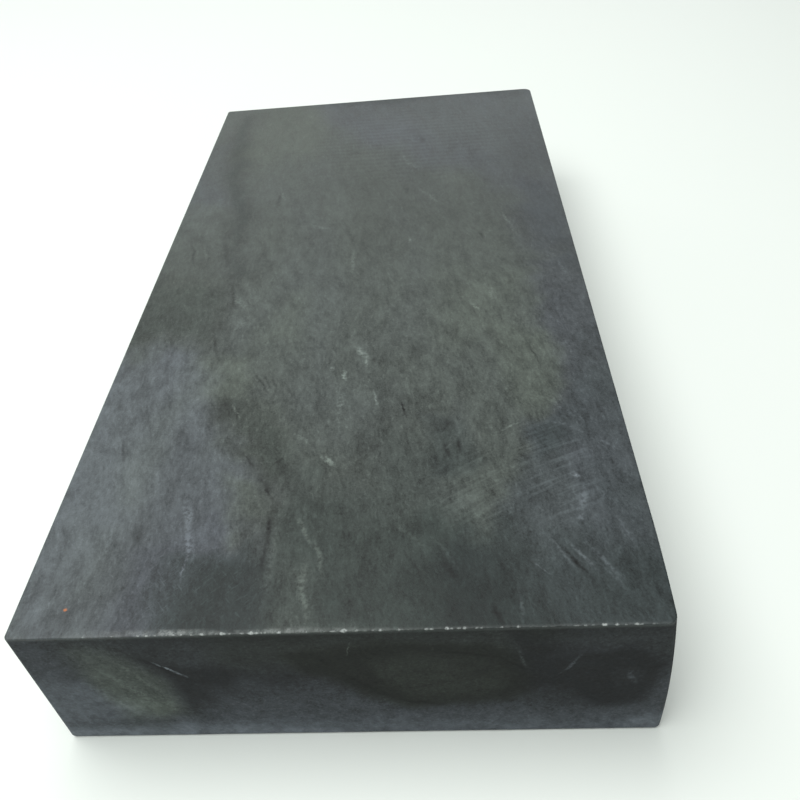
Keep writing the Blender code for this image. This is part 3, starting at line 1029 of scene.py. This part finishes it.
def grinding_arcs(nodes, flat):
    """Uneven light arcs about a far hub, as a grinding wheel leaves, in two soft patches."""
    from_hub = nodes.vector("SUBTRACT", flat, (*ARC_HUB, 0.0))
    x, y, _ = separate(nodes, from_hub)
    across = nodes.times(nodes.vector("LENGTH", from_hub), 1.0 / ARC_PITCH)
    around = nodes.times(nodes.math("ARCTAN2", y, x), ARC_TURN)
    lines = nodes.noise(combine(nodes, across, around), *ARC_NOISE)
    strong, faint = [oval_patch(nodes, flat, oval) for oval in ARC_PATCHES]
    patch = nodes.math("MAXIMUM", strong, nodes.times(faint, FAINT_ARCS))
    return nodes.times(nodes.ramp(lines, *ARC_RAMP), patch)


def saw_bands(nodes, flat, y_axis):
    """Very faint bands across the far end, left by the saw."""
    wave = nodes.math("SINE", nodes.times(y_axis, SAW_TURN))
    return nodes.times(wave, oval_patch(nodes, flat, SAW_PATCH, SAW_PATCH_CORE))


def hair_scratches(nodes, coords, scratches):
    """Hair-fine scratches in one direction, broken up along their length."""
    angle, spacing, low, high = scratches
    size = (spacing, spacing * SCRATCH_STRETCH, spacing)
    fibres = nodes.noise(nodes.place(coords, ORIGIN, size, angle), *SCRATCH_NOISE)
    return nodes.ramp(fibres, low, high)


def crossed_scratches(nodes, flat):
    """Two sets of short fine scratches that cross, inside a soft oval."""
    rising = hair_scratches(nodes, flat, RISING_SCRATCHES)
    falling = hair_scratches(nodes, flat, FALLING_SCRATCHES)
    crossed = nodes.math("MAXIMUM", rising, falling)
    return nodes.times(crossed, oval_patch(nodes, flat, CROSSED_PATCH))


def face_masks(nodes, y_axis, z_axis):
    """One on the working face, and one on the front face below it."""
    on_top = nodes.ramp(z_axis, *TOP_FADE)
    at_front = nodes.ramp(y_axis, *FRONT_FADE, 1.0, 0.0)
    on_front = nodes.times(at_front, nodes.math("SUBTRACT", 1.0, on_top))
    return on_top, on_front


def drawn_strokes(nodes, ragged_axes, on_top, on_front):
    """The light and the dark strokes of the working face and the front."""
    x, y, z = ragged_axes
    top_place = combine(nodes, x, y)
    top_light = strokes(nodes, top_place, LIGHT_STROKES)
    top_dark = nodes.times(strokes(nodes, top_place, DARK_STROKES), DARK_STROKE_GAIN)
    front_place = combine(nodes, x, z)
    front_light = strokes(nodes, front_place, FRONT_LIGHT_STROKES)
    front_dark = strokes(nodes, front_place, FRONT_DARK_STROKES)
    top_light = nodes.times(top_light, on_top)
    light = nodes.math("MULTIPLY_ADD", front_light, on_front, top_light)
    top_dark = nodes.times(top_dark, on_top)
    dark = nodes.math("MULTIPLY_ADD", front_dark, on_front, top_dark)
    return light, dark


def tool_marks(nodes, flat, y_axis, on_top):
    """Grinding arcs with crossed scratches, and saw bands, on the working face only."""
    crossed = crossed_scratches(nodes, flat)
    arcs = nodes.math("MULTIPLY_ADD", crossed, CROSSED_GAIN, grinding_arcs(nodes, flat))
    arcs = nodes.times(arcs, on_top)
    bands = nodes.times(saw_bands(nodes, flat, y_axis), on_top)
    return arcs, bands


def small_specks(nodes, ragged):
    """Small pale and dark specks, drawn out along the slab."""
    coords = nodes.place(ragged, ORIGIN, SPECK_STRETCH, SPECK_TURN)
    specks = nodes.noise(coords, *SPECK_NOISE)
    pale = nodes.ramp(specks, *PALE_SPECK_RAMP)
    dark = nodes.ramp(specks, *DARK_SPECK_RAMP)
    return nodes.math("ADD", dark, pale)


def stone_texture(nodes, y_axis, veins, specks, marks):
    """How light the stone is next to its zone, from its veins, its specks and its marks."""
    clouds, streaks, threads, grain = veins
    calm = nodes.ramp(y_axis, *CALM_RAMP)
    fine_calm = nodes.ramp(y_axis, *FINE_CALM_RAMP)
    layers = [
        nodes.ramp(clouds, *CLOUD_RAMP),
        nodes.times(nodes.ramp(streaks, *STREAK_RAMP), calm),
        nodes.times(nodes.ramp(threads, *THREAD_RAMP), calm),
        nodes.times(nodes.ramp(grain, *GRAIN_RAMP), fine_calm),
        nodes.times(specks, fine_calm),
    ]
    layers += [nodes.times(mark, strength) for mark, strength in zip(marks, MARK_STRENGTHS)]
    return nodes.math("MAXIMUM", nodes.total(layers), LEAST_TEXTURE)


def toned(nodes, streaks, texture):
    """The texture with the zones' tones: lightening laid over it, or darkness taken off it. Some of
    the lightening is painted sheen and reflection, and some of the darkness is painted shade; the rest
    is the stone's own.

    Gives the share of light that dark zones keep as well.
    """
    tone = nodes.attribute("tone")
    lift = nodes.math("MAXIMUM", tone, 0.0)
    lightening_and_sheen = nodes.times(lift, nodes.ramp(streaks, *LIGHTENING_AND_SHEEN_RAMP))
    share = nodes.math("ADD", nodes.math("MINIMUM", tone, 0.0), 1.0)
    share = nodes.math("MAXIMUM", share, DARKEST_ZONE)
    return nodes.math("MULTIPLY_ADD", share, texture, lightening_and_sheen), share


def with_strokes(nodes, place, value, light, dark, breakup):
    """A brightness with the light and the dark strokes drawn on it."""
    uneven = nodes.ramp(nodes.noise(place, *UNEVEN_NOISE), *UNEVEN_RAMP)
    kept = nodes.math("SUBTRACT", 1.0, nodes.times(dark, uneven))
    flecks = nodes.times(nodes.times(light, breakup), LIGHT_STROKE_GAIN)
    return nodes.math("MULTIPLY_ADD", value, kept, flecks)


def stone_colour(nodes, along, dark_share, unmarked_by, on_top):
    """Green-grey to blue-grey, deeper in the dark zones of the working face off the light strokes."""
    patchy = nodes.ramp(nodes.noise(along, *PATCHY_NOISE), *PATCHY_RAMP)
    blueness = nodes.math("ADD", nodes.attribute("blue"), patchy)
    tint = nodes.ramp(blueness, *TINT_RAMP)
    unmarked = nodes.math("SUBTRACT", on_top, unmarked_by, clamp=True)
    depth = nodes.times(nodes.math("SUBTRACT", 1.0, dark_share), unmarked)
    return nodes.mix(depth, nodes.mix(tint, GREEN_GREY, BLUE_GREY), DEEP_GREY)


def worn_and_stained(nodes, colour, place, ragged):
    """A colour with pale crushed stone where it is worn, and one rust-coloured speck."""
    wear = nodes.attribute("wear")
    crushed = nodes.ramp(nodes.noise(place, *CRUSHED_NOISE), *CRUSHED_RAMP)
    worn = nodes.mix(nodes.times(wear, crushed), colour, CRUSHED_STONE)
    rust_reach = nodes.vector("DISTANCE", ragged, RUST_PLACE)
    return nodes.mix(nodes.ramp(rust_reach, *RUST_RAMP), worn, RUST)


def honed_surface(nodes, z_axis, streaks, threads, grain):
    """Set the roughness, the shine and the finest relief."""
    honed = nodes.ramp(nodes.total([streaks, grain]), *HONED_ROUGHNESS_RAMP)
    sawn = nodes.ramp(z_axis, *TOP_FADE, SAWN_EXTRA_ROUGHNESS, 0.0)
    nodes.feed(nodes.shader.inputs["Roughness"], nodes.math("ADD", honed, sawn))
    nodes.shader.inputs["Specular IOR Level"].default_value = SHINE
    layers = zip((grain, threads, streaks), RELIEF_WEIGHTS)
    height = nodes.total([nodes.times(layer, weight) for layer, weight in layers])
    bump = nodes.add("Bump")
    bump.inputs["Strength"].default_value = RELIEF_STRENGTH
    bump.inputs["Distance"].default_value = RELIEF_DISTANCE
    nodes.feed(bump.inputs["Height"], height)
    nodes.feed(nodes.shader.inputs["Normal"], bump.outputs["Normal"])


def stone_material():
    """Dark slate-like stone, honed, with smoky veins along its length."""
    material = bpy.data.materials.new("slab_stone")
    nodes = Nodes(material)
    source = nodes.add("TexCoord").outputs["Object"]
    place = nodes.vector("SCALE", source, 1.0 / MM)
    x_axis, y_axis, z_axis = separate(nodes, place)
    on_top, on_front = face_masks(nodes, y_axis, z_axis)

    broad = warped(nodes, place, *BROAD_WARP)
    organic = warped(nodes, place, *ORGANIC_WARP)
    ragged = warped(nodes, organic, *RAGGED_WARP)
    ragged_axes = separate(nodes, ragged)

    along = nodes.place(broad, ORIGIN, VEIN_STRETCH, VEIN_TURN)
    clouds = nodes.noise(along, *CLOUD_NOISE)
    streaks = nodes.noise(along, *STREAK_NOISE)
    threads = nodes.noise(along, *THREAD_NOISE)
    grain = nodes.noise(place, *GRAIN_NOISE)

    light, dark = drawn_strokes(nodes, ragged_axes, on_top, on_front)
    flat = combine(nodes, x_axis, y_axis)
    arcs, bands = tool_marks(nodes, flat, y_axis, on_top)
    wisps = hair_scratches(nodes, ragged, WISPS)
    scratches = hair_scratches(nodes, place, FINE_SCRATCHES)
    specks = small_specks(nodes, ragged)
    breakup = nodes.ramp(nodes.noise(place, *BREAKUP_NOISE), *BREAKUP_RAMP)

    veins = (clouds, streaks, threads, grain)
    texture = stone_texture(nodes, y_axis, veins, specks, (wisps, scratches, arcs, bands))
    value, dark_share = toned(nodes, streaks, texture)
    value = with_strokes(nodes, place, value, light, dark, breakup)
    colour = stone_colour(nodes, along, dark_share, light, on_top)
    shaded = nodes.vector("SCALE", colour, value)
    nodes.feed(nodes.shader.inputs["Base Color"], worn_and_stained(nodes, shaded, place, ragged))
    honed_surface(nodes, z_axis, streaks, threads, grain)
    return material


# ---- Floor, light and camera ----
FLOOR_COLOUR = (0.755, 0.79, 0.76, 1.0)
FLOOR_ROUGHNESS = 0.6
FLOOR_HALF_SIZE = 3.0
FLOOR_DROP = 0.0001
ROOM_COLOUR = (0.95, 1.0, 0.98, 1.0)
ROOM_STRENGTH = 0.19

# Lamps: (name, position, the point it is aimed at, width, height, power in watts, colour)
LAMPS = (
    ("ceiling", (-0.35, -0.15, 1.5), (0.0, -0.05, 0.0), 1.6, 1.4, 35.0, (0.98, 1.0, 0.98)),
    ("wall", (-0.4, 1.5, 0.55), (0.0, 0.0, 0.15), 2.6, 1.0, 8.5, (0.98, 1.0, 0.99)),
)


def make_floor():
    """A plain pale floor under the slab."""
    shape = bmesh.new()
    bmesh.ops.create_grid(shape, x_segments=1, y_segments=1, size=FLOOR_HALF_SIZE)
    mesh = bpy.data.meshes.new("floor")
    shape.to_mesh(mesh)
    shape.free()
    floor = bpy.data.objects.new("floor", mesh)
    floor.location = (0.0, 0.0, NODE_LOW.z - FLOOR_DROP)
    bpy.context.scene.collection.objects.link(floor)
    material = bpy.data.materials.new("floor_paint")
    material.use_nodes = True
    shader = material.node_tree.nodes["Principled BSDF"]
    shader.inputs["Base Color"].default_value = FLOOR_COLOUR
    shader.inputs["Roughness"].default_value = FLOOR_ROUGHNESS
    mesh.materials.append(material)


def soft_light(name, position, aim, width, height, power, colour):
    """A large rectangular lamp aimed at a point."""
    data = bpy.data.lights.new(name, "AREA")
    data.shape = "RECTANGLE"
    data.size = width
    data.size_y = height
    data.energy = power
    data.color = colour
    lamp = bpy.data.objects.new(name, data)
    lamp.location = position
    direction = Vector(aim) - Vector(position)
    lamp.rotation_euler = direction.to_track_quat("-Z", "Y").to_euler()
    bpy.context.scene.collection.objects.link(lamp)


def make_light():
    """Soft studio light: a wide ceiling light and a bright wall behind."""
    world = bpy.data.worlds.new("studio")
    world.use_nodes = True
    background = world.node_tree.nodes["Background"]
    background.inputs["Color"].default_value = ROOM_COLOUR
    background.inputs["Strength"].default_value = ROOM_STRENGTH
    bpy.context.scene.world = world
    for lamp in LAMPS:
        soft_light(*lamp)


def make_camera():
    """A camera at the height and angle of a hand-held view."""
    data = bpy.data.cameras.new("camera")
    data.lens = CAMERA_LENS
    data.sensor_width = CAMERA_SENSOR
    data.shift_x = CAMERA_SHIFT_X
    data.shift_y = CAMERA_SHIFT_Y
    data.clip_start = CAMERA_CLIP_START
    camera = bpy.data.objects.new("camera", data)
    camera.matrix_world = (
        Matrix.Translation(CAMERA_POSITION)
        @ Matrix.Rotation(CAMERA_PAN, 4, "Z")
        @ Matrix.Rotation(CAMERA_TILT, 4, "X")
        @ Matrix.Rotation(CAMERA_ROLL, 4, "Y")
    )
    bpy.context.scene.collection.objects.link(camera)
    bpy.context.scene.camera = camera


def dress_slab():
    """Put the detailed slab in the CAD node's place."""
    slab = build_slab()
    slab.data.materials.append(stone_material())
    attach(slab, "root")
    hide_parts("stone_slab")


# noise_vector takes its offsets from the clock unless it is given a seed
noise.seed_set(WANDER_SEED)
dress_slab()
make_floor()
make_light()
make_camera()
bpy.context.scene.view_settings.view_transform = "Standard"
